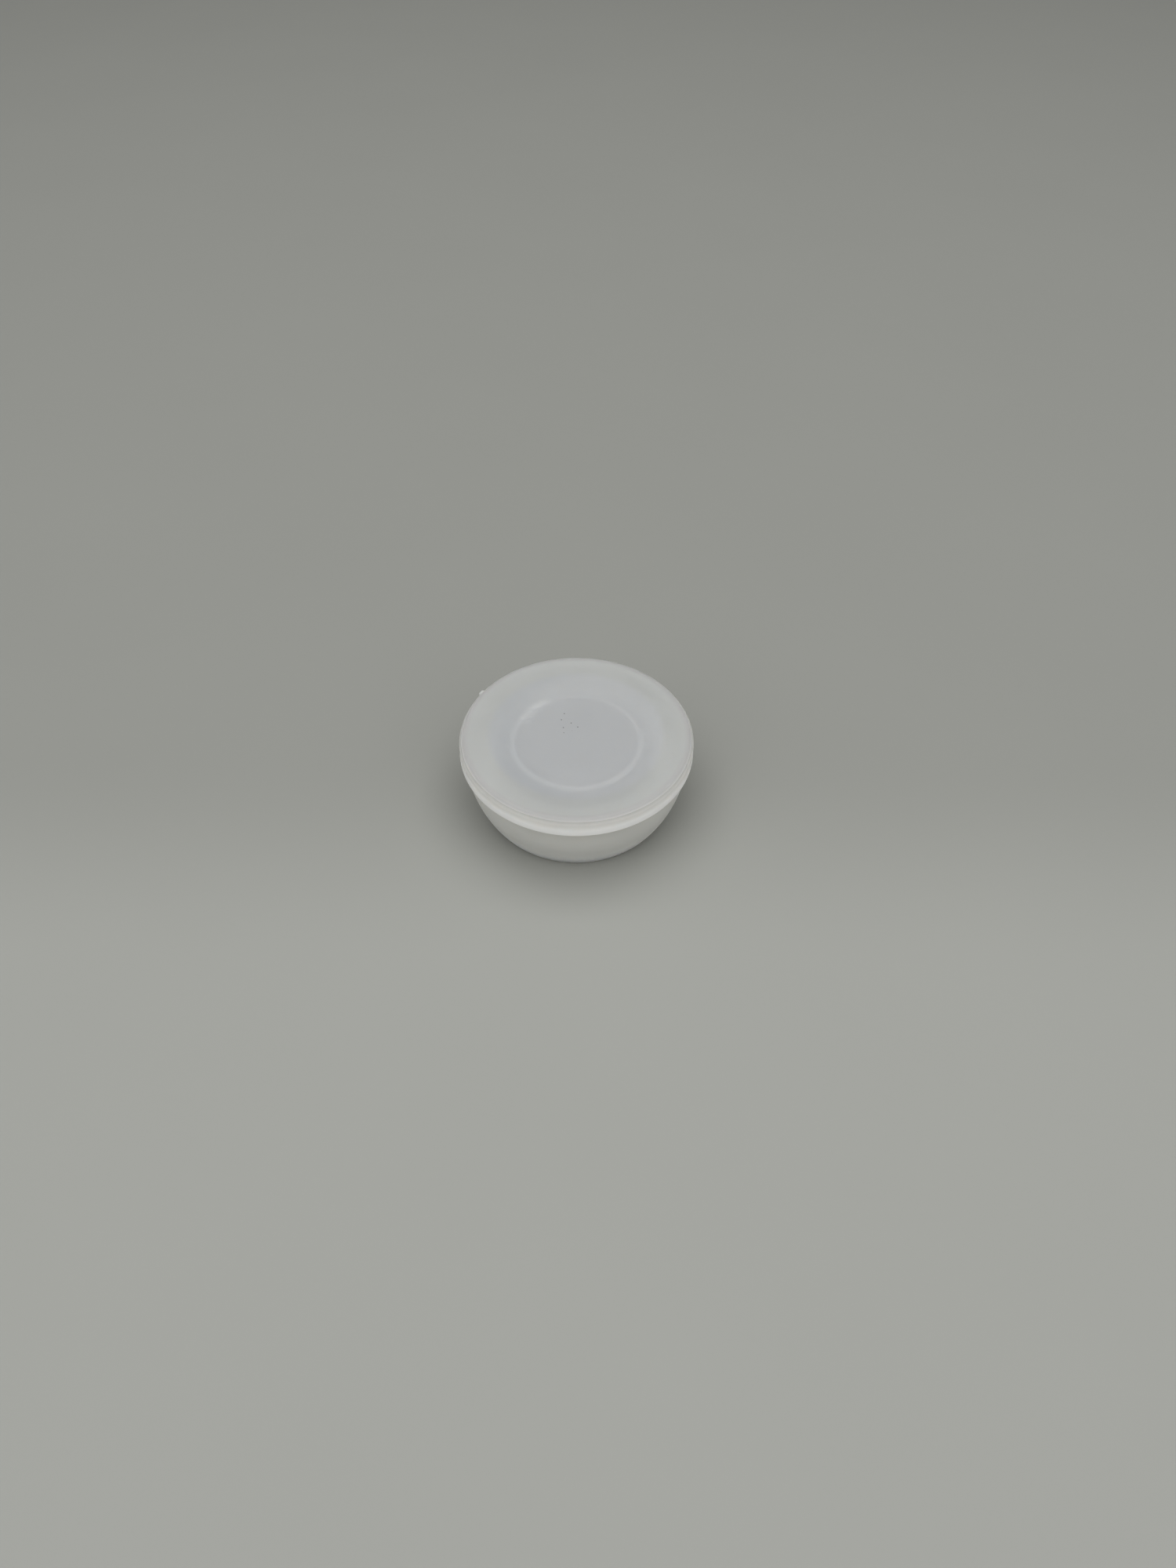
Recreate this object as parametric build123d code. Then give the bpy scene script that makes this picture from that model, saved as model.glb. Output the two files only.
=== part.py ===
from build123d import *
import math
import os

os.makedirs("parts", exist_ok=True)

# Push-in cap for a round drain cleanout, moulded in one shot from soft silicone rubber.
# Millimetres. +Z is the axis of the cap and points up, out of the drain. The origin is the
# middle of the foot, on the plane that the cap stands on.

# Sizes that can be set by themselves
pipe_bore = 46.4            # bore that the plug closes, that of a 50 mm waste pipe
bore_clearance = 0.1        # each side, between the widest ring of the plug and the bore
flange_overhang = 0.9       # how far the flange stands out past the plug, all round
flange_thickness = 3.8
plug_length = 14.2          # flange underside to foot
foot_inset = 3.75           # how far the plug wall draws in from the flange to the foot
top_panel = 3.6             # rubber left over the hollow
foot_wall = 2.6             # wall at the foot, between the outside and the hollow
hollow_draft = 1.0          # degrees, the hollow opens toward the foot
ceiling_bevel = 3.3         # slope between the wall and the ceiling of the hollow, across and down
top_edge_round = 1.45
foot_edge_round = 0.4
mouth_bevel = 0.4           # inner edge of the foot
gate_width = 1.8            # stub left where the runner was torn off, at the rim
gate_tip = 0.5              # and at its torn end
gate_reach = 0.7            # how far it stands out from the rim
gate_height = 1.1
gate_drop = 1.2             # from the top face down to the top of the stub
gate_root = 1.5             # how far it runs into the flange, so that it starts in solid rubber
gate_bearing = 145.8        # degrees from +X, seen from above

# Sizes that follow from them
plug_radius = pipe_bore / 2 - bore_clearance
flange_radius = plug_radius + flange_overhang
foot_radius = plug_radius - foot_inset
height = plug_length + flange_thickness
ceiling = height - top_panel
mouth_radius = foot_radius - foot_wall
ceiling_radius = mouth_radius - ceiling * math.tan(math.radians(hollow_draft))

# Corners of the half section, as distance from the axis and height
top_corner = (flange_radius, height)
foot_corner = (foot_radius, 0)
mouth_corner = (mouth_radius, 0)
ceiling_corner = (ceiling_radius, ceiling)

with BuildPart() as cap:
    # The cap is a turned form: one half section, with the axis on its left
    with BuildSketch(Plane.XZ) as section:
        with BuildLine():
            Line((0, height), top_corner)
            Line(top_corner, (flange_radius, plug_length))
            Line((flange_radius, plug_length), (plug_radius, plug_length))
            # The wall leaves the flange square to it and bows inward down to the foot
            TangentArc((plug_radius, plug_length), foot_corner, tangent=(0, -1))
            Line(foot_corner, mouth_corner)
            Line(mouth_corner, ceiling_corner)
            Line(ceiling_corner, (0, ceiling))
            Line((0, ceiling), (0, height))
        make_face()

        def corner(point):
            """The corner of the section at this point."""
            return section.vertices().sort_by_distance(point)[0]

        fillet(corner(top_corner), top_edge_round)
        fillet(corner(foot_corner), foot_edge_round)
        chamfer(corner(mouth_corner), mouth_bevel)
        chamfer(corner(ceiling_corner), ceiling_bevel)
    revolve(axis=Axis.Z)

    # Gate stub: a small wedge on the rim, narrower where it was torn off
    gate_floor = height - gate_drop - gate_height
    with BuildSketch(Plane.XY.rotated((0, 0, gate_bearing)).offset(gate_floor)):
        with BuildLine():
            Polyline(
                (flange_radius - gate_root, -gate_width / 2),
                (flange_radius, -gate_width / 2),
                (flange_radius + gate_reach, -gate_tip / 2),
                (flange_radius + gate_reach, gate_tip / 2),
                (flange_radius, gate_width / 2),
                (flange_radius - gate_root, gate_width / 2),
                close=True,
            )
        make_face()
    extrude(amount=gate_height)

cap.part.label = "cap"
export_step(cap.part, "parts/cap.step")
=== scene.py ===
"""Dresses a push-in silicone cap for a drain cleanout.

The cap is one moulding. A Geometry Nodes tree turns its section about the drain's axis and
joins the torn stub of the runner to its rim. The rest is the plain stage that it stands on.
Sizes are in metres and Z is the axis of the cap, as in the packed frame.
"""

import math

import bpy
from mathutils import Matrix, Vector


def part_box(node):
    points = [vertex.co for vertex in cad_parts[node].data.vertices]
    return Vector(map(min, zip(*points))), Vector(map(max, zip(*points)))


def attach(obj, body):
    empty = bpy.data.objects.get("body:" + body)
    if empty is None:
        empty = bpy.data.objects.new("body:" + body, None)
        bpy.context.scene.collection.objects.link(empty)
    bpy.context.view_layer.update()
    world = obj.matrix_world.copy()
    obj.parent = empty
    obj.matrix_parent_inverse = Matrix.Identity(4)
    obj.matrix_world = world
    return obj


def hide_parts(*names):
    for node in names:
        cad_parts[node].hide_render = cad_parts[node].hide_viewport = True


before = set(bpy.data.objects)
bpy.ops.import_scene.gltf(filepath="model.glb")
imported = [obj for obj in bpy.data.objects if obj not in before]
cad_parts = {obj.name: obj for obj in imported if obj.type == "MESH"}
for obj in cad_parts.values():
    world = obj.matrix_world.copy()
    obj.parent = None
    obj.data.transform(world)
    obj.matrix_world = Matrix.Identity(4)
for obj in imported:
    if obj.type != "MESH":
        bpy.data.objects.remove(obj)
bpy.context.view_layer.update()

bl_info = {
    "name": "Silicone Cleanout Cap",
    "version": (1, 0, 0),
    "blender": (4, 5, 0),
    "location": "View3D > Sidebar > Cleanout Cap",
    "description": "Turns a milky silicone cap for a drain cleanout and sets it on a plain stage",
    "category": "Add Mesh",
}

CAD_NODE = "cap"
BODY = "root"
MM = 0.001

CAP_LOW, CAP_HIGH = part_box(CAD_NODE)
FLANGE_RADIUS = (CAP_HIGH.x - CAP_LOW.x) / 2
CAP_HEIGHT = CAP_HIGH.z - CAP_LOW.z

# points along the section, as shares of a straight run, where the skin can bend
TOP_STEPS = (0.04, 0.12, 0.2, 0.28, 0.36, 0.44, 0.52, 0.6, 0.68, 0.76, 0.84, 0.9)
SIDE_STEPS = (0.9, 0.75, 0.6, 0.45, 0.3, 0.15)
CEILING_STEPS = (0.8, 0.6, 0.4, 0.2, 0.06, 0)
WALL_STEPS = 16

SILICONE_IOR = 1.41
RUBBER_DULL = 0.44
PANEL_DULL = 0.34
PANEL_CLEARNESS = 0.49

WORKTOP_CORNERS = 64
CAMERA_PLACE = (0.00241, -0.16335, 0.18239)
CAMERA_PITCH = math.radians(47.74)
CAMERA_ROLL = math.radians(0.355)


# Colours

def linear(hex_colour):
    """Turns an sRGB hex colour into the linear red, green, blue and alpha that Blender stores."""
    channels = [int(hex_colour[i:i + 2], 16) / 255 for i in (1, 3, 5)]
    return [c / 12.92 if c <= 0.04045 else ((c + 0.055) / 1.055) ** 2.4 for c in channels] + [1.0]


# Settings that a user would change

def length_setting(name, description, millimetres):
    """A length in the sidebar, given here in millimetres."""
    return bpy.props.FloatProperty(
        name=name, description=description, default=millimetres * MM,
        min=0.0, precision=5, subtype="DISTANCE", unit="LENGTH",
    )


def colour_setting(name, description, hex_colour):
    """A colour in the sidebar, given here as sRGB hex."""
    return bpy.props.FloatVectorProperty(
        name=name, description=description, default=linear(hex_colour),
        size=4, min=0.0, max=1.0, subtype="COLOR",
    )


class CapSizes(bpy.types.PropertyGroup):
    """The section of the moulding and the stub on its rim."""

    flange_overhang: length_setting(
        "Flange Overhang", "How far the flange stands out past the plug", 0.9)
    flange_thickness: length_setting("Flange Thickness", "From the top face down to the seat", 3.8)
    foot_inset: length_setting(
        "Foot Inset", "How far the plug wall draws in down to the foot", 3.75)
    top_panel: length_setting("Top Panel", "Rubber left over the hollow", 3.6)
    foot_wall: length_setting(
        "Foot Wall", "Wall between the outside and the hollow, at the foot", 2.6)
    hollow_draft: bpy.props.FloatProperty(
        name="Hollow Draft", description="Slope that lets the core out of the hollow",
        default=math.radians(1.0), subtype="ANGLE", unit="ROTATION",
    )
    ceiling_bevel: length_setting(
        "Ceiling Bevel", "Slope between the hollow's wall and its ceiling", 3.3)
    top_round: length_setting("Top Round", "Radius of the flange's upper edge", 1.45)
    lip_round: length_setting("Lip Round", "Radius of the flange's lower edge", 0.06)
    lip_flare: length_setting(
        "Lip Flare", "How far the flange's side sweeps out down to its lip", 0.08)
    lip_drop: length_setting("Lip Drop", "How far the lip hangs below the seat", 0.2)
    seat_round: length_setting("Seat Round", "Radius in the corner under the flange", 0.3)
    foot_round: length_setting("Foot Round", "Radius of the foot's outer edge", 0.2)
    mouth_round: length_setting("Mouth Round", "Radius of the foot's inner edge", 0.35)
    bevel_round: length_setting("Bevel Round", "Radius at both ends of the ceiling's bevel", 0.45)
    flash: length_setting(
        "Flash", "Height of the fine ridge where the two halves of the mould met", 0.02)
    dish: length_setting(
        "Dish", "How far the top face sinks in the middle as the rubber cools", 0.06)
    unevenness: length_setting("Unevenness", "Most that the skin sinks from its true shape", 0.02)
    thin_path: length_setting(
        "Thin Path", "How far light goes in the thin panel before it turns", 3.5)
    solid_path: length_setting(
        "Solid Path", "How far light goes in the thick rubber before it turns", 6.5)
    steps_round: bpy.props.IntProperty(
        name="Steps Round", description="Facets in one turn", default=288, min=24, max=720,
    )
    gate_width: length_setting("Gate Width", "Width of the runner's stub at the rim", 1.8)
    gate_tip: length_setting("Gate Tip", "Width of the stub at its torn end", 1.1)
    gate_reach: length_setting("Gate Reach", "How far the stub stands out from the rim", 0.55)
    gate_height: length_setting("Gate Height", "Height of the stub", 1.2)
    gate_drop: length_setting(
        "Gate Drop", "From the top face down to the top of the stub", 1.2)
    gate_root: length_setting("Gate Root", "How far the stub runs into the flange", 1.5)
    gate_bearing: bpy.props.FloatProperty(
        name="Gate Bearing", description="Where the stub is, round the axis from +X",
        default=math.radians(146.8), subtype="ANGLE", unit="ROTATION",
    )


class CapFinish(bpy.types.PropertyGroup):
    """The colours of the rubber, with its painted shade, highlights and glow, and of the specks on
    it.
    """

    over_hollow: colour_setting(
        "Over Hollow", "Thin rubber with the dark hollow behind it", "#D4D6D7")
    shaded: colour_setting(
        "Thinnest", "Where the panel is thinnest, toward one side of the hollow", "#CED1D3")
    over_wall: colour_setting(
        "Over Wall", "Thick rubber under the edge of the top", "#D1D3D1")
    brow_shade: colour_setting("Brow", "Where the top starts to turn down", "#CBCBCA")
    flash: colour_setting("Flash", "Fine ridge where the two halves of the mould met", "#DEDEDC")
    ceiling: colour_setting("Ceiling", "Ceiling of the hollow", "#7A7C80")
    ceiling_edge_highlight: colour_setting(
        "Ceiling Edge", "Edge of the ceiling, which catches the light", "#FFFFFF")
    slope: colour_setting("Slope", "Slope from the ceiling to the wall of the hollow", "#8C8E92")
    shoulder_shade: colour_setting(
        "Shoulder", "Just under the ridge, where the edge turns down", "#AEAEAB")
    rim: colour_setting("Rim", "Side of the flange", "#C9C9C6")
    lip: colour_setting("Lip", "Lower edge of the flange, where the light leaves", "#FFFFFD")
    plug: colour_setting("Plug", "Wall of the plug and of the hollow", "#DCDCD8")
    foot: colour_setting(
        "Foot", "Foot of the plug, where the light from the worktop comes in", "#FFFFFC")
    smear_highlight: colour_setting("Scuff", "Dull pale skin where the cap was handled", "#E2E4E4")
    speck: colour_setting("Speck", "Grit that stays on the soft rubber", "#4A4A48")


class StageSettings(bpy.types.PropertyGroup):
    """The floor, the lamps and the camera."""

    floor: colour_setting("Floor", "Plain worktop, where it is worn pale in front", "#92938E")
    floor_back: colour_setting("Floor Back", "The same worktop further back", "#858681")
    backdrop: colour_setting("Backdrop", "Wall of the studio, beyond the worktop", "#BEBEBB")
    floor_radius: length_setting("Floor Radius", "Far enough to fill the view", 3000.0)
    overhead_power: bpy.props.FloatProperty(
        name="Overhead Power", description="Softbox straight above",
        default=11.4, min=0.0, unit="POWER",
    )
    front_power: bpy.props.FloatProperty(
        name="Front Power",
        description="Each softbox in front, one to the left and one to the right",
        default=2.4, min=0.0, unit="POWER",
    )
    sky: bpy.props.FloatProperty(
        name="Sky", description="Even light from all round", default=0.16, min=0.0,
    )
    lens: bpy.props.FloatProperty(
        name="Lens", description="Focal length of a phone's main camera", default=26.1, min=1.0,
        unit="CAMERA",
    )


# Node trees

def add_node(tree, kind, inputs=None, **settings):
    """Adds a node and sets it up. An input that is given a socket is linked to it."""
    node = tree.nodes.new(kind)
    for name, value in settings.items():
        setattr(node, name, value)
    for key, value in (inputs or {}).items():
        if isinstance(value, bpy.types.NodeSocket):
            tree.links.new(value, node.inputs[key])
        else:
            node.inputs[key].default_value = value
    return node


def new_geometry_tree(name, sockets):
    """Starts a Geometry Nodes tree with the named inputs, and returns it with its input node."""
    tree = bpy.data.node_groups.new(name, "GeometryNodeTree")
    tree.interface.new_socket("Geometry", in_out="INPUT", socket_type="NodeSocketGeometry")
    for label, kind in sockets:
        tree.interface.new_socket(label, in_out="INPUT", socket_type="NodeSocket" + kind)
    tree.interface.new_socket("Geometry", in_out="OUTPUT", socket_type="NodeSocketGeometry")
    return tree, add_node(tree, "NodeGroupInput")


def end_geometry_tree(tree, geometry, *finishes):
    """Ends a tree: instances are made real, each material is set where its choice holds, and the
    result goes out."""
    real = add_node(tree, "GeometryNodeRealizeInstances", {"Geometry": geometry})
    last = real.outputs[0]
    for material, chosen in finishes:
        last = add_node(tree, "GeometryNodeSetMaterial",
                        {"Geometry": last, "Selection": chosen, "Material": material}).outputs[0]
    add_node(tree, "NodeGroupOutput", {0: last})


def grown_mesh(name, seed_mesh, tree, values):
    """Runs a tree on a mesh and returns a new object with the result as its own plain mesh."""
    holder = bpy.data.objects.new(name + "_seed", seed_mesh)
    bpy.context.scene.collection.objects.link(holder)
    modifier = holder.modifiers.new(tree.name, "NODES")
    modifier.node_group = tree
    for item in tree.interface.items_tree:
        if item.item_type == "SOCKET" and item.in_out == "INPUT" and item.name in values:
            modifier[item.identifier] = values[item.name]
    depsgraph = bpy.context.evaluated_depsgraph_get()
    mesh = bpy.data.meshes.new_from_object(holder.evaluated_get(depsgraph))
    holder.modifiers.remove(modifier)
    bpy.data.objects.remove(holder)
    mesh.name = name
    piece = bpy.data.objects.new(name, mesh)
    bpy.context.scene.collection.objects.link(piece)
    return piece


# The section of the cap

def round_corner(before, corner, after, radius, steps):
    """Points of an arc that rounds off one corner of the section."""
    back, ahead = (before - corner).normalized(), (after - corner).normalized()
    half = back.angle(ahead) / 2
    start = corner + back * radius / math.tan(half)
    centre = corner + (back + ahead).normalized() * radius / math.sin(half)
    spoke = start - centre
    turn = math.pi - 2 * half
    if back.cross(ahead) > 0:
        turn = -turn
    points = []
    for i in range(steps + 1):
        angle = turn * i / steps
        points.append(centre + Vector((spoke.x * math.cos(angle) - spoke.y * math.sin(angle),
                                       spoke.x * math.sin(angle) + spoke.y * math.cos(angle))))
    return points


def with_flash(arc, height):
    """Lifts the middle of an arc into a fine ridge, which stays inside the arc's own corner."""
    middle = len(arc) // 2
    lift = (arc[0] + arc[-1]) / 2
    outwards = (arc[middle] - lift).normalized() * height
    step = (arc[middle + 1] - arc[middle - 1]).normalized() * 0.1 * MM
    ridge = [arc[middle] - step, arc[middle] + outwards, arc[middle] + step]
    return arc[:middle] + ridge + arc[middle + 1:]


def drawn_in_wall(top, foot, steps):
    """Corners down the plug's wall, which starts upright and bows in to the foot on one arc."""
    fall, inset = top.y - foot.y, top.x - foot.x
    radius = (fall ** 2 + inset ** 2) / (2 * inset)
    sweep = math.asin(fall / radius)
    return [Vector((top.x - radius * (1 - math.cos(sweep * i / steps)),
                    top.y - radius * math.sin(sweep * i / steps))) for i in range(steps + 1)]


def ceiling_edge_radius(sizes):
    """Radius of the flat part of the hollow's ceiling."""
    foot_radius = FLANGE_RADIUS - sizes.flange_overhang - sizes.foot_inset
    ceiling = CAP_HEIGHT - sizes.top_panel
    return (foot_radius - sizes.foot_wall - ceiling * math.tan(sizes.hollow_draft)
            - sizes.ceiling_bevel)


def cap_section(sizes):
    """The cap's section, from the middle of its top round to the middle of the ceiling."""
    plug_radius = FLANGE_RADIUS - sizes.flange_overhang
    seat = CAP_HEIGHT - sizes.flange_thickness
    foot_radius = plug_radius - sizes.foot_inset
    mouth_radius = foot_radius - sizes.foot_wall
    ceiling = CAP_HEIGHT - sizes.top_panel
    ceiling_radius = mouth_radius - ceiling * math.tan(sizes.hollow_draft)
    wall_slope = (mouth_radius - ceiling_radius) / ceiling
    bevel_foot = ceiling - sizes.ceiling_bevel
    side = sizes.flange_thickness - sizes.top_round
    inner = ceiling_edge_radius(sizes)
    wall = drawn_in_wall(Vector((plug_radius, seat)), Vector((foot_radius, 0)), WALL_STEPS)
    # each corner with the radius that rounds it and the steps in that arc
    corners = [(Vector((0, CAP_HEIGHT)), 0, 0)]
    corners += [(Vector((FLANGE_RADIUS * share, CAP_HEIGHT)), 0, 0) for share in TOP_STEPS]
    crease = len(corners)
    corners.append((Vector((FLANGE_RADIUS - sizes.lip_flare, CAP_HEIGHT)), sizes.top_round, 14))
    # the side leaves the round upright and sweeps out to the lip
    corners += [(Vector((FLANGE_RADIUS - sizes.lip_flare * (1 - (1 - share) ** 2),
                         seat + side * share)), 0, 0) for share in SIDE_STEPS]
    corners += [
        (Vector((FLANGE_RADIUS, seat - sizes.lip_drop)), sizes.lip_round, 4),
        (wall[0], sizes.seat_round, 6),
    ]
    corners += [(point, 0, 0) for point in wall[1:-1]]
    corners += [
        (wall[-1], sizes.foot_round, 10),
        (Vector((mouth_radius, 0)), sizes.mouth_round, 6),
        (Vector((mouth_radius - wall_slope * bevel_foot / 2, bevel_foot / 2)), 0, 0),
        (Vector((mouth_radius - wall_slope * bevel_foot, bevel_foot)), sizes.bevel_round, 6),
        (Vector((inner, ceiling)), sizes.bevel_round, 6),
    ]
    corners += [(Vector((inner * share, ceiling)), 0, 0) for share in CEILING_STEPS]
    outline = []
    for i, (corner, radius, steps) in enumerate(corners):
        if radius:
            arc = round_corner(corners[i - 1][0], corner, corners[i + 1][0], radius, steps)
            outline += with_flash(arc, sizes.flash) if i == crease else arc
        else:
            outline.append(corner)
    return outline


def section_mesh(outline):
    """The outline as a mesh of points and edges in the plane of X and Z."""
    mesh = bpy.data.meshes.new("cap_section")
    points = [(point.x, 0, point.y) for point in outline]
    mesh.from_pydata(points, [(i, i + 1) for i in range(len(points) - 1)], [])
    return mesh


def turning_tree():
    """Turns a section about Z, lets the skin sink a little, and joins the stub to the rim."""
    tree, given = new_geometry_tree("turned_moulding", [
        ("Steps Round", "Int"), ("Weld", "Float"), ("Height", "Float"),
        ("Dish", "Float"), ("Dish Radius", "Float"),
        ("Unevenness", "Float"), ("Waves per Metre", "Float"), ("Seed", "Float"),
        ("Stub Size", "Vector"), ("Stub Place", "Vector"), ("Stub Bearing", "Float"),
        ("Stub Taper", "Float"), ("Tear", "Float"),
        ("Flash Height", "Float"), ("Core Radius", "Float"), ("Core Height", "Float"),
        ("Thin Rubber", "Material"), ("Solid Rubber", "Material"),
    ])
    size = given.outputs
    section = size["Geometry"]
    domain = add_node(tree, "GeometryNodeAttributeDomainSize", {"Geometry": section})
    count = domain.outputs["Point Count"]
    columns = add_node(tree, "ShaderNodeMath", {0: size["Steps Round"], 1: 1.0}, operation="ADD")
    sheet = add_node(tree, "GeometryNodeMeshGrid",
                     {"Vertices X": columns.outputs[0], "Vertices Y": count})
    # each point of the sheet goes to its own step round and its own point of the section
    index = add_node(tree, "GeometryNodeInputIndex").outputs[0]
    share = add_node(tree, "ShaderNodeMath", {0: index, 1: count}, operation="DIVIDE")
    column = add_node(tree, "ShaderNodeMath", {0: share.outputs[0]}, operation="FLOOR")
    passed = add_node(tree, "ShaderNodeMath", {0: column.outputs[0], 1: count},
                      operation="MULTIPLY")
    row = add_node(tree, "ShaderNodeMath", {0: index, 1: passed.outputs[0]},
                   operation="SUBTRACT")
    place = add_node(tree, "GeometryNodeInputPosition").outputs[0]
    sample = add_node(tree, "GeometryNodeSampleIndex", {"Geometry": section},
                      data_type="FLOAT_VECTOR", domain="POINT")
    tree.links.new(place, sample.inputs["Value"])
    tree.links.new(row.outputs[0], sample.inputs["Index"])
    step = add_node(tree, "ShaderNodeMath", {0: -math.tau, 1: size["Steps Round"]},
                    operation="DIVIDE")
    angle = add_node(tree, "ShaderNodeMath", {0: column.outputs[0], 1: step.outputs[0]},
                     operation="MULTIPLY")
    turned = add_node(tree, "ShaderNodeVectorRotate",
                      {"Vector": sample.outputs[0], "Angle": angle.outputs[0]},
                      rotation_type="Z_AXIS")
    skin = add_node(tree, "GeometryNodeSetPosition",
                    {"Geometry": sheet.outputs["Mesh"], "Position": turned.outputs[0]})
    closed = add_node(tree, "GeometryNodeMergeByDistance",
                      {"Geometry": skin.outputs[0], "Distance": size["Weld"]})
    # the top face sinks in the middle, most at the axis and not at all at the dish's edge
    across = add_node(tree, "ShaderNodeVectorMath", {0: place, 1: (1.0, 1.0, 0.0)},
                      operation="MULTIPLY")
    radius = add_node(tree, "ShaderNodeVectorMath", {0: across.outputs[0]}, operation="LENGTH")
    depth = add_node(tree, "ShaderNodeMapRange",
                     {"Value": radius.outputs["Value"], "From Min": size["Dish Radius"],
                      "From Max": 0.0}, interpolation_type="SMOOTHSTEP")
    height = add_node(tree, "ShaderNodeSeparateXYZ", {0: place}).outputs["Z"]
    on_top = add_node(tree, "FunctionNodeCompare", {0: height, 1: size["Height"], "Epsilon": 1e-5},
                      data_type="FLOAT", operation="EQUAL")
    sink = add_node(tree, "ShaderNodeMath", {0: depth.outputs[0], 1: size["Dish"]},
                    operation="MULTIPLY")
    down = add_node(tree, "ShaderNodeMath", {0: sink.outputs[0], 1: -1.0}, operation="MULTIPLY")
    offset = add_node(tree, "ShaderNodeCombineXYZ", {"Z": down.outputs[0]})
    dished = add_node(tree, "GeometryNodeSetPosition",
                      {"Geometry": closed.outputs[0], "Selection": on_top.outputs[0],
                       "Offset": offset.outputs[0]})
    # slow waves in the skin, always inwards, so that the cap keeps its outer size
    waves = add_node(tree, "ShaderNodeTexNoise",
                     {"Vector": place, "Scale": size["Waves per Metre"], "W": size["Seed"],
                      "Detail": 2.0}, noise_dimensions="4D")
    inwards = add_node(tree, "ShaderNodeMath", {0: waves.outputs[0], 1: size["Unevenness"]},
                       operation="MULTIPLY")
    minus = add_node(tree, "ShaderNodeMath", {0: inwards.outputs[0], 1: -1.0}, operation="MULTIPLY")
    normal = add_node(tree, "GeometryNodeInputNormal").outputs[0]
    shift = add_node(tree, "ShaderNodeVectorMath", {0: normal, "Scale": minus.outputs[0]},
                     operation="SCALE")
    uneven = add_node(tree, "GeometryNodeSetPosition",
                      {"Geometry": dished.outputs[0], "Offset": shift.outputs[0]})
    # the stub starts as a block along X, narrows outwards, and is torn rough at its end
    block = add_node(tree, "GeometryNodeMeshCube",
                     {"Size": size["Stub Size"], "Vertices X": 9, "Vertices Y": 7, "Vertices Z": 6})
    length = add_node(tree, "ShaderNodeSeparateXYZ", {0: size["Stub Size"]})
    along = add_node(tree, "ShaderNodeSeparateXYZ", {0: place})
    reach = add_node(tree, "ShaderNodeMath", {0: along.outputs["X"], 1: length.outputs["X"]},
                     operation="DIVIDE")
    out_share = add_node(tree, "ShaderNodeMath", {0: reach.outputs[0], 1: 0.5}, operation="ADD")
    narrow = add_node(tree, "ShaderNodeMapRange",
                      {"Value": out_share.outputs[0], "From Min": 0.6, "From Max": 1.0,
                       "To Min": 1.0, "To Max": size["Stub Taper"]})
    width = add_node(tree, "ShaderNodeMath", {0: along.outputs["Y"], 1: narrow.outputs[0]},
                     operation="MULTIPLY")
    tapered = add_node(tree, "ShaderNodeCombineXYZ",
                       {"X": along.outputs["X"], "Y": width.outputs[0], "Z": along.outputs["Z"]})
    shaped = add_node(tree, "GeometryNodeSetPosition",
                      {"Geometry": block.outputs["Mesh"], "Position": tapered.outputs[0]})
    rip = add_node(tree, "ShaderNodeTexNoise",
                   {"Vector": place, "Scale": 1800.0, "W": size["Seed"], "Detail": 2.0},
                   noise_dimensions="4D")
    torn = add_node(tree, "ShaderNodeMath", {0: rip.outputs[0], 1: size["Tear"]},
                    operation="MULTIPLY")
    pulled = add_node(tree, "ShaderNodeMath", {0: torn.outputs[0], 1: -1.0}, operation="MULTIPLY")
    at_end = add_node(tree, "ShaderNodeMapRange",
                      {"Value": out_share.outputs[0], "From Min": 0.7, "From Max": 0.95})
    pull = add_node(tree, "ShaderNodeMath", {0: pulled.outputs[0], 1: at_end.outputs[0]},
                    operation="MULTIPLY")
    ragged = add_node(tree, "GeometryNodeSetPosition", {"Geometry": shaped.outputs[0]})
    bite = add_node(tree, "ShaderNodeVectorMath", {0: normal, "Scale": pull.outputs[0]},
                    operation="SCALE")
    tree.links.new(bite.outputs[0], ragged.inputs["Offset"])
    moved = add_node(tree, "GeometryNodeTransform",
                     {"Geometry": ragged.outputs[0], "Translation": size["Stub Place"]})
    bearing = add_node(tree, "ShaderNodeCombineXYZ", {"Z": size["Stub Bearing"]})
    stub = add_node(tree, "GeometryNodeTransform",
                    {"Geometry": moved.outputs[0], "Rotation": bearing.outputs[0]})
    joined = add_node(tree, "GeometryNodeMeshBoolean", {"Mesh 2": uneven.outputs[0]},
                      operation="UNION", solver="EXACT")
    tree.links.new(stub.outputs[0], joined.inputs["Mesh 2"])
    smooth = add_node(tree, "GeometryNodeSetShadeSmooth", {"Geometry": joined.outputs["Mesh"]})
    # the thin panel is all above the flash line, and the hollow's ceiling with its slope
    above = add_node(tree, "FunctionNodeCompare", {0: height, 1: size["Flash Height"]},
                     data_type="FLOAT", operation="GREATER_THAN")
    high = add_node(tree, "FunctionNodeCompare", {0: height, 1: size["Core Height"]},
                    data_type="FLOAT", operation="GREATER_THAN")
    within = add_node(tree, "FunctionNodeCompare",
                      {0: radius.outputs["Value"], 1: size["Core Radius"]},
                      data_type="FLOAT", operation="LESS_THAN")
    core = add_node(tree, "FunctionNodeBooleanMath", {0: high.outputs[0], 1: within.outputs[0]},
                    operation="AND")
    thin = add_node(tree, "FunctionNodeBooleanMath", {0: above.outputs[0], 1: core.outputs[0]},
                    operation="OR")
    end_geometry_tree(tree, smooth.outputs[0], (size["Solid Rubber"], True),
                      (size["Thin Rubber"], thin.outputs[0]))
    return tree


# Materials

def new_material(name):
    """A material with an empty node tree, returned with the tree."""
    material = bpy.data.materials.new(name)
    material.use_nodes = True
    material.node_tree.nodes.clear()
    return material, material.node_tree


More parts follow.
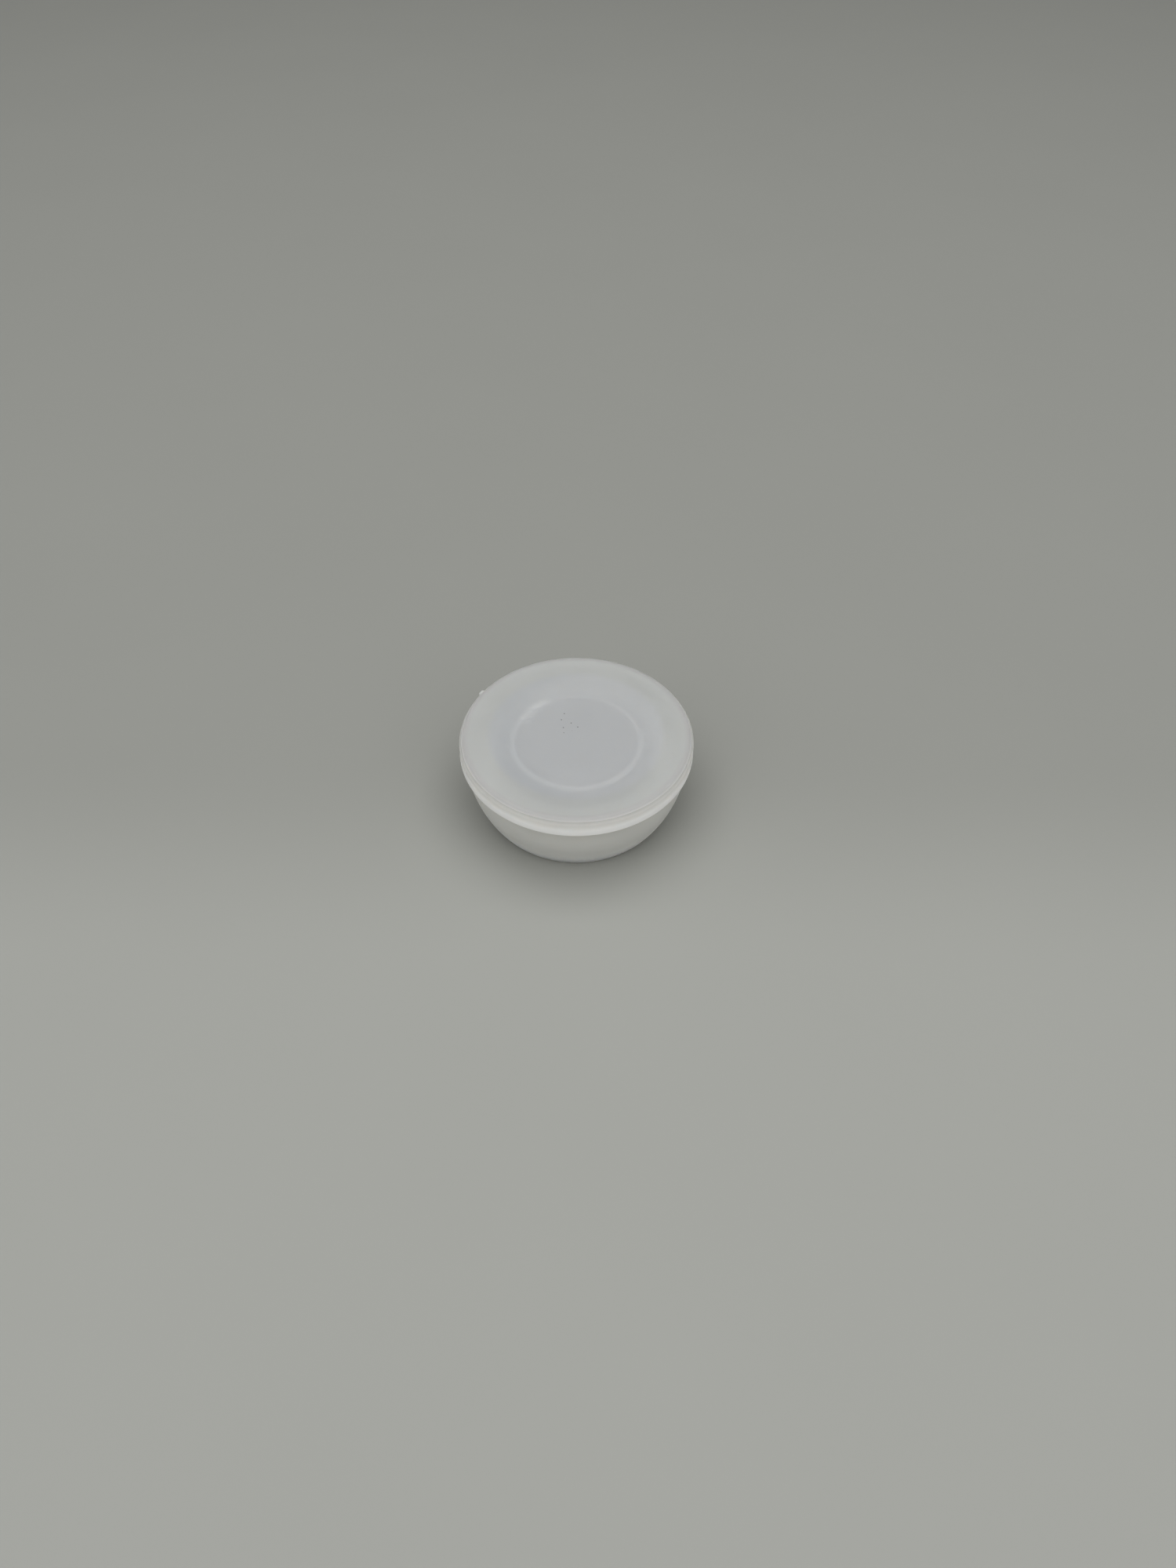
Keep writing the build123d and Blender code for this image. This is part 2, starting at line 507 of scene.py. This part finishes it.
def painted_over(tree, under, colour, measure, start, end):
    """Lays a colour over another: none where the measure is at its start, all at its end."""
    cover = add_node(tree, "ShaderNodeMapRange",
                     {"Value": measure, "From Min": start, "From Max": end},
                     interpolation_type="SMOOTHSTEP")
    return add_node(tree, "ShaderNodeMix", {"Factor": cover.outputs[0], 6: under, 7: colour},
                    data_type="RGBA").outputs[2]


def place_on_cap(tree):
    """The place in the cap's own space, its height over the foot and its distance from the axis."""
    where = add_node(tree, "ShaderNodeTexCoord").outputs["Object"]
    height = add_node(tree, "ShaderNodeSeparateXYZ", {0: where}).outputs["Z"]
    across = add_node(tree, "ShaderNodeVectorMath", {0: where, 1: (1.0, 1.0, 0.0)},
                      operation="MULTIPLY")
    radius = add_node(tree, "ShaderNodeVectorMath", {0: across.outputs[0]}, operation="LENGTH")
    return where, height, radius.outputs["Value"]


def rubber_shader(tree, where, body, clearness, light_path, soak, dullness):
    """Gives a body colour the skin of the mould and lets light into it."""
    clouds = add_node(tree, "ShaderNodeTexNoise", {"Vector": where, "Scale": 1 / (9 * MM),
                                                   "Detail": 3.0})
    density = add_node(tree, "ShaderNodeMapRange", {"Value": clouds.outputs[0], "To Min": 0.97,
                                                    "To Max": 1.03})
    milk = add_node(tree, "ShaderNodeVectorMath", {0: body, "Scale": density.outputs[0]},
                    operation="SCALE")
    # blasted tool steel leaves pits of about 0.25 mm
    pits = add_node(tree, "ShaderNodeTexNoise", {"Vector": where, "Scale": 1 / (0.5 * MM),
                                                 "Detail": 4.0, "Roughness": 0.6})
    relief = add_node(tree, "ShaderNodeBump", {"Height": pits.outputs[0], "Strength": 0.25,
                                               "Distance": 0.03 * MM})
    patchy = add_node(tree, "ShaderNodeMapRange", {"Value": clouds.outputs[0], "To Min": -0.04,
                                                   "To Max": 0.04})
    sheen = add_node(tree, "ShaderNodeMath", {0: patchy.outputs[0], 1: dullness}, operation="ADD")
    # red light goes a little further through milky rubber than blue
    red, green, blue = (light_path * share for share in (1.0, 0.95, 0.9))
    shader = add_node(tree, "ShaderNodeBsdfPrincipled", {
        "Base Color": milk.outputs[0], "Roughness": sheen.outputs[0], "IOR": SILICONE_IOR,
        "Normal": relief.outputs[0], "Transmission Weight": clearness, "Subsurface Weight": soak,
        "Subsurface Radius": (red / MM, green / MM, blue / MM), "Subsurface Scale": 1.0 * MM,
    })
    add_node(tree, "ShaderNodeOutputMaterial", {"Surface": shader.outputs[0]})


def thin_silicone(sizes, finish):
    """Platinum-cured silicone rubber, unpigmented, where it is a thin panel over the hollow.

    The eye partly looks through it: cool and dim over the hollow, with the edge of the hollow's
    ceiling as a faint ring below the skin, and warmer where the wall stands under it.
    """
    material, tree = new_material("milky_silicone_thin")
    where, height, radius = place_on_cap(tree)
    edge = ceiling_edge_radius(sizes)
    # painted shade: the dark hollow seen through the panel, laid on darker toward one side, away
    # from this point
    unshaded_point = (6.5 * MM, 0.5 * MM, CAP_HEIGHT)
    off_unshaded = add_node(tree, "ShaderNodeVectorMath", {0: where, 1: unshaded_point},
                        operation="DISTANCE")
    panel = painted_over(tree, finish.over_hollow, finish.shaded, off_unshaded.outputs["Value"],
                         16.5 * MM, 21.5 * MM)
    panel = painted_over(tree, panel, finish.over_wall, radius, edge + 3.6 * MM, edge + 5.6 * MM)
    # a painted highlight lies pale along a short arc, in streaks, for light reflected off the
    # hollow's slope below; and grit near the middle
    bearing, arc = math.radians(144), 11.3 * MM
    middle = (arc * math.cos(bearing), arc * math.sin(bearing), CAP_HEIGHT)
    aside = add_node(tree, "ShaderNodeMath", {0: radius, 1: arc}, operation="SUBTRACT")
    aside = add_node(tree, "ShaderNodeMath", {0: aside.outputs[0]}, operation="ABSOLUTE")
    away = add_node(tree, "ShaderNodeVectorMath", {0: where, 1: middle}, operation="DISTANCE")
    drawn = add_node(tree, "ShaderNodeMapping", {
        "Vector": where, "Rotation": (0, 0, math.radians(-60)), "Scale": (0.35, 1.0, 1.0)})
    streaks = add_node(tree, "ShaderNodeTexNoise", {
        "Vector": drawn.outputs[0], "Scale": 1 / (1.2 * MM), "Detail": 3.0})
    pale = painted_over(tree, panel, finish.smear_highlight, streaks.outputs[0], 0.25, 0.7)
    pale = painted_over(tree, pale, panel, aside.outputs[0], 0.4 * MM, 1.8 * MM)
    panel = painted_over(tree, pale, panel, away.outputs["Value"], 2.5 * MM, 6.0 * MM)
    cells = add_node(tree, "ShaderNodeTexVoronoi", {"Vector": where, "Scale": 1 / (1.6 * MM)},
                     voronoi_dimensions="2D")
    chance = add_node(tree, "ShaderNodeSeparateXYZ", {0: cells.outputs["Color"]})
    grit_middle = (0, 3 * MM, CAP_HEIGHT)
    off_middle = add_node(tree, "ShaderNodeVectorMath", {0: where, 1: grit_middle},
                          operation="DISTANCE")
    grit = painted_over(tree, finish.speck, panel, cells.outputs["Distance"], 0.055, 0.095)
    grit = painted_over(tree, grit, panel, chance.outputs["X"], 0.4, 0.42)
    panel = painted_over(tree, grit, panel, off_middle.outputs["Value"], 3.8 * MM, 4.0 * MM)
    crease = FLANGE_RADIUS - sizes.lip_flare - sizes.top_round * (1 - math.sqrt(0.5))
    # painted shade where the top starts to turn down
    turned = painted_over(tree, panel, finish.brow_shade, radius, FLANGE_RADIUS - 2.2 * MM,
                          FLANGE_RADIUS - 1.3 * MM)
    # the flash ridge is modelled; the paler band along it is a painted highlight
    top = painted_over(tree, turned, finish.flash, radius, crease - 0.35 * MM, crease - 0.15 * MM)
    # painted shade on the hollow's ceiling and its slope, and a painted highlight as a ring at the
    # ceiling's edge
    ceiling = CAP_HEIGHT - sizes.top_panel
    slope = painted_over(tree, finish.ceiling_edge_highlight, finish.slope, radius,
                         edge + 0.4 * MM, edge + 0.6 * MM)
    core = painted_over(tree, finish.ceiling, slope, radius, edge - 0.6 * MM, edge - 0.4 * MM)
    body = painted_over(tree, top, core, height, ceiling + 1 * MM, ceiling + 0.5 * MM)
    # the middle of the mould is polished, its edge is blasted dull
    dullness = add_node(tree, "ShaderNodeMapRange", {
        "Value": radius, "From Min": 18.5 * MM, "From Max": 21.5 * MM,
        "To Min": PANEL_DULL, "To Max": RUBBER_DULL,
    }, interpolation_type="SMOOTHSTEP")
    rubber_shader(tree, where, body, PANEL_CLEARNESS, sizes.thin_path, 1.0, dullness.outputs[0])
    return material


def solid_silicone(sizes, finish):
    """The same silicone where it is thick: the rim, the plug and the wall of the hollow.

    The eye gets a pale body that light soaks into and travels through. Under the ridge it has
    painted shade, and a painted glow down the side is palest at the flange's lower edge, where
    the light leaves.
    """
    material, tree = new_material("milky_silicone_solid")
    where, height, radius = place_on_cap(tree)
    seat = CAP_HEIGHT - sizes.flange_thickness
    # painted shade just under the flash ridge, then a painted glow that grows paler down to the lip
    rim = painted_over(tree, finish.shoulder_shade, finish.rim, height, CAP_HEIGHT - 0.5 * MM,
                       CAP_HEIGHT - 1.0 * MM)
    rim = painted_over(tree, rim, finish.lip, height, CAP_HEIGHT - 0.7 * MM, seat + 0.5 * MM)
    # painted light: the wall goes paler down to the foot, for light that the worktop throws back in
    wall = painted_over(tree, finish.plug, finish.foot, height, 0.45 * seat, 0.0)
    # the face that the cap stands on is plain
    wall = painted_over(tree, wall, finish.plug, height, 0.08 * MM, 0.04 * MM)
    plug = painted_over(tree, rim, wall, height, seat, seat - 0.1 * MM)
    body = painted_over(tree, wall, plug, radius, 22.0 * MM, 22.6 * MM)
    # at the lip and the foot the skin is scuffed and throws light back before it soaks in
    off_lip = add_node(tree, "ShaderNodeMapRange", {"Value": height, "From Min": seat + 0.1 * MM,
                                                    "From Max": seat + 1.1 * MM})
    under_lip = add_node(tree, "ShaderNodeMapRange", {"Value": height, "From Min": seat - 0.3 * MM,
                                                      "From Max": seat - 0.4 * MM})
    clear = add_node(tree, "ShaderNodeMath", {0: off_lip.outputs[0], 1: under_lip.outputs[0]},
                     operation="MAXIMUM")
    off_foot = add_node(tree, "ShaderNodeMapRange", {"Value": height, "From Min": 0.1 * MM,
                                                     "From Max": 0.7 * MM})
    soak = add_node(tree, "ShaderNodeMath", {0: clear.outputs[0], 1: off_foot.outputs[0]},
                    operation="MINIMUM")
    rubber_shader(tree, where, body, 0.0, sizes.solid_path, soak.outputs[0], RUBBER_DULL)
    return material


def grey_laminate(stage):
    """Matt laminate of a workbench: a plain grey with hardly any sheen, a little paler in front."""
    material, tree = new_material("matt_grey_laminate")
    where = add_node(tree, "ShaderNodeTexCoord").outputs["Object"]
    mottle = add_node(tree, "ShaderNodeTexNoise", {"Vector": where, "Scale": 1 / (60 * MM),
                                                   "Detail": 3.0})
    shade = add_node(tree, "ShaderNodeMapRange", {"Value": mottle.outputs[0], "To Min": 0.98,
                                                  "To Max": 1.02})
    along = add_node(tree, "ShaderNodeSeparateXYZ", {0: where})
    # the worktop's colour goes paler toward the front and darker further back
    toned = painted_over(tree, stage.floor, stage.floor_back, along.outputs["Y"],
                        -45 * MM, 10 * MM)
    colour = add_node(tree, "ShaderNodeVectorMath", {0: toned, "Scale": shade.outputs[0]},
                      operation="SCALE")
    shader = add_node(tree, "ShaderNodeBsdfPrincipled", {"Base Color": colour.outputs[0],
                                                         "Roughness": 0.7})
    add_node(tree, "ShaderNodeOutputMaterial", {"Surface": shader.outputs[0]})
    return material


# Operators

class CLEANOUT_OT_turn_cap(bpy.types.Operator):
    """Turn the cap's moulding from its section, with the stub on its rim"""

    bl_idname = "cleanout.turn_cap"
    bl_label = "Turn Cap"

    def execute(self, context):
        sizes, finish = context.scene.cap_sizes, context.scene.cap_finish
        stub_length = sizes.gate_root + sizes.gate_reach
        middle = FLANGE_RADIUS + sizes.gate_reach - stub_length / 2
        piece = grown_mesh("cap_moulding", section_mesh(cap_section(sizes)), turning_tree(), {
            "Steps Round": sizes.steps_round, "Weld": 0.001 * MM, "Height": CAP_HEIGHT,
            "Dish": sizes.dish, "Dish Radius": FLANGE_RADIUS - 2 * sizes.top_round,
            "Unevenness": sizes.unevenness, "Waves per Metre": 1 / (7 * MM), "Seed": 3.0,
            "Stub Size": (stub_length, sizes.gate_width, sizes.gate_height),
            "Stub Place": (middle, 0, CAP_HEIGHT - sizes.gate_drop - sizes.gate_height / 2),
            "Stub Bearing": sizes.gate_bearing, "Stub Taper": sizes.gate_tip / sizes.gate_width,
            "Tear": 0.08 * MM,
            "Flash Height": CAP_HEIGHT - sizes.top_round * (1 - math.sqrt(0.5)),
            "Core Radius": FLANGE_RADIUS - sizes.flange_overhang - sizes.foot_inset,
            "Core Height": CAP_HEIGHT - sizes.top_panel - sizes.ceiling_bevel,
            "Thin Rubber": thin_silicone(sizes, finish),
            "Solid Rubber": solid_silicone(sizes, finish),
        })
        piece.data.set_sharp_from_angle(angle=math.radians(40))
        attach(piece, BODY)
        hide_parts(CAD_NODE)
        return {"FINISHED"}


class CLEANOUT_OT_set_stage(bpy.types.Operator):
    """Lay the worktop, hang the lamps and place the camera"""

    bl_idname = "cleanout.set_stage"
    bl_label = "Set Stage"

    def execute(self, context):
        stage = context.scene.cap_stage
        scene = context.scene
        mesh = bpy.data.meshes.new("worktop")
        bearings = [math.tau * i / WORKTOP_CORNERS for i in range(WORKTOP_CORNERS)]
        mesh.from_pydata([(stage.floor_radius * math.cos(bearing),
                           stage.floor_radius * math.sin(bearing), 0) for bearing in bearings],
                         [], [list(range(WORKTOP_CORNERS))])
        mesh.materials.append(grey_laminate(stage))
        worktop = bpy.data.objects.new("worktop", mesh)
        scene.collection.objects.link(worktop)

        for name, place, size, power in (
            ("overhead_softbox", (0.0, 0.0, 1.0), 1.2, stage.overhead_power),
            ("left_softbox", (-0.65, -0.55, 0.7), 0.8, stage.front_power),
            ("right_softbox", (0.65, -0.55, 0.7), 0.8, stage.front_power),
        ):
            lamp = bpy.data.lights.new(name, "AREA")
            lamp.shape, lamp.size, lamp.energy = "SQUARE", size, power
            softbox = bpy.data.objects.new(name, lamp)
            softbox.location = place
            softbox.rotation_euler = (-softbox.location).to_track_quat("-Z", "Y").to_euler()
            scene.collection.objects.link(softbox)

        world = bpy.data.worlds.new("studio")
        scene.world = world
        world.use_nodes = True
        tree = world.node_tree
        tree.nodes.clear()
        shown = add_node(tree, "ShaderNodeBackground", {"Color": stage.backdrop, "Strength": 1.0})
        light = add_node(tree, "ShaderNodeBackground", {"Color": linear("#FFFFFF"),
                                                        "Strength": stage.sky})
        seen = add_node(tree, "ShaderNodeLightPath")
        mirrored = add_node(tree, "ShaderNodeMath", {0: seen.outputs["Is Glossy Ray"],
                                                     1: seen.outputs["Is Transmission Ray"]},
                            operation="MAXIMUM")
        visible = add_node(tree, "ShaderNodeMath", {0: seen.outputs["Is Camera Ray"],
                                                    1: mirrored.outputs[0]}, operation="MAXIMUM")
        pick = add_node(tree, "ShaderNodeMixShader", {0: visible.outputs[0], 1: light.outputs[0],
                                                      2: shown.outputs[0]})
        add_node(tree, "ShaderNodeOutputWorld", {"Surface": pick.outputs[0]})

        data = bpy.data.cameras.new("camera")
        data.lens, data.sensor_width, data.clip_start = stage.lens, 36, 0.01
        camera = bpy.data.objects.new("camera", data)
        forward = Vector((0, math.cos(CAMERA_PITCH), -math.sin(CAMERA_PITCH)))
        right = Vector((math.cos(CAMERA_ROLL), math.sin(CAMERA_ROLL) * math.sin(CAMERA_PITCH),
                        math.sin(CAMERA_ROLL) * math.cos(CAMERA_PITCH)))
        up = right.cross(forward)
        turn = Matrix((right, up, -forward)).transposed().to_4x4()
        camera.matrix_world = Matrix.Translation(CAMERA_PLACE) @ turn
        scene.collection.objects.link(camera)
        scene.camera = camera
        scene.view_settings.view_transform = "Standard"
        return {"FINISHED"}


class CLEANOUT_PT_panel(bpy.types.Panel):
    """Lists the steps and their settings in the sidebar"""

    bl_idname = "CLEANOUT_PT_panel"
    bl_label = "Cleanout Cap"
    bl_space_type = "VIEW_3D"
    bl_region_type = "UI"
    bl_category = "Cleanout Cap"

    def draw(self, context):
        for step in STEPS:
            self.layout.operator(step.bl_idname)
        for name, group in SETTINGS.items():
            box = self.layout.box()
            box.label(text=group.__doc__)
            for key in group.__annotations__:
                box.prop(getattr(context.scene, name), key)


STEPS = (CLEANOUT_OT_turn_cap, CLEANOUT_OT_set_stage)
SETTINGS = {"cap_sizes": CapSizes, "cap_finish": CapFinish, "cap_stage": StageSettings}


def register():
    """Registers the settings, the steps and the panel."""
    for cls in (*SETTINGS.values(), *STEPS, CLEANOUT_PT_panel):
        bpy.utils.register_class(cls)
    for name, group in SETTINGS.items():
        setattr(bpy.types.Scene, name, bpy.props.PointerProperty(type=group))


def unregister():
    """Takes everything out again, in the opposite order."""
    for name in SETTINGS:
        delattr(bpy.types.Scene, name)
    for cls in reversed((*SETTINGS.values(), *STEPS, CLEANOUT_PT_panel)):
        bpy.utils.unregister_class(cls)


def main():
    """Builds the cap and its stage."""
    register()
    bpy.ops.cleanout.turn_cap()
    bpy.ops.cleanout.set_stage()


if __name__ == "__main__":
    main()
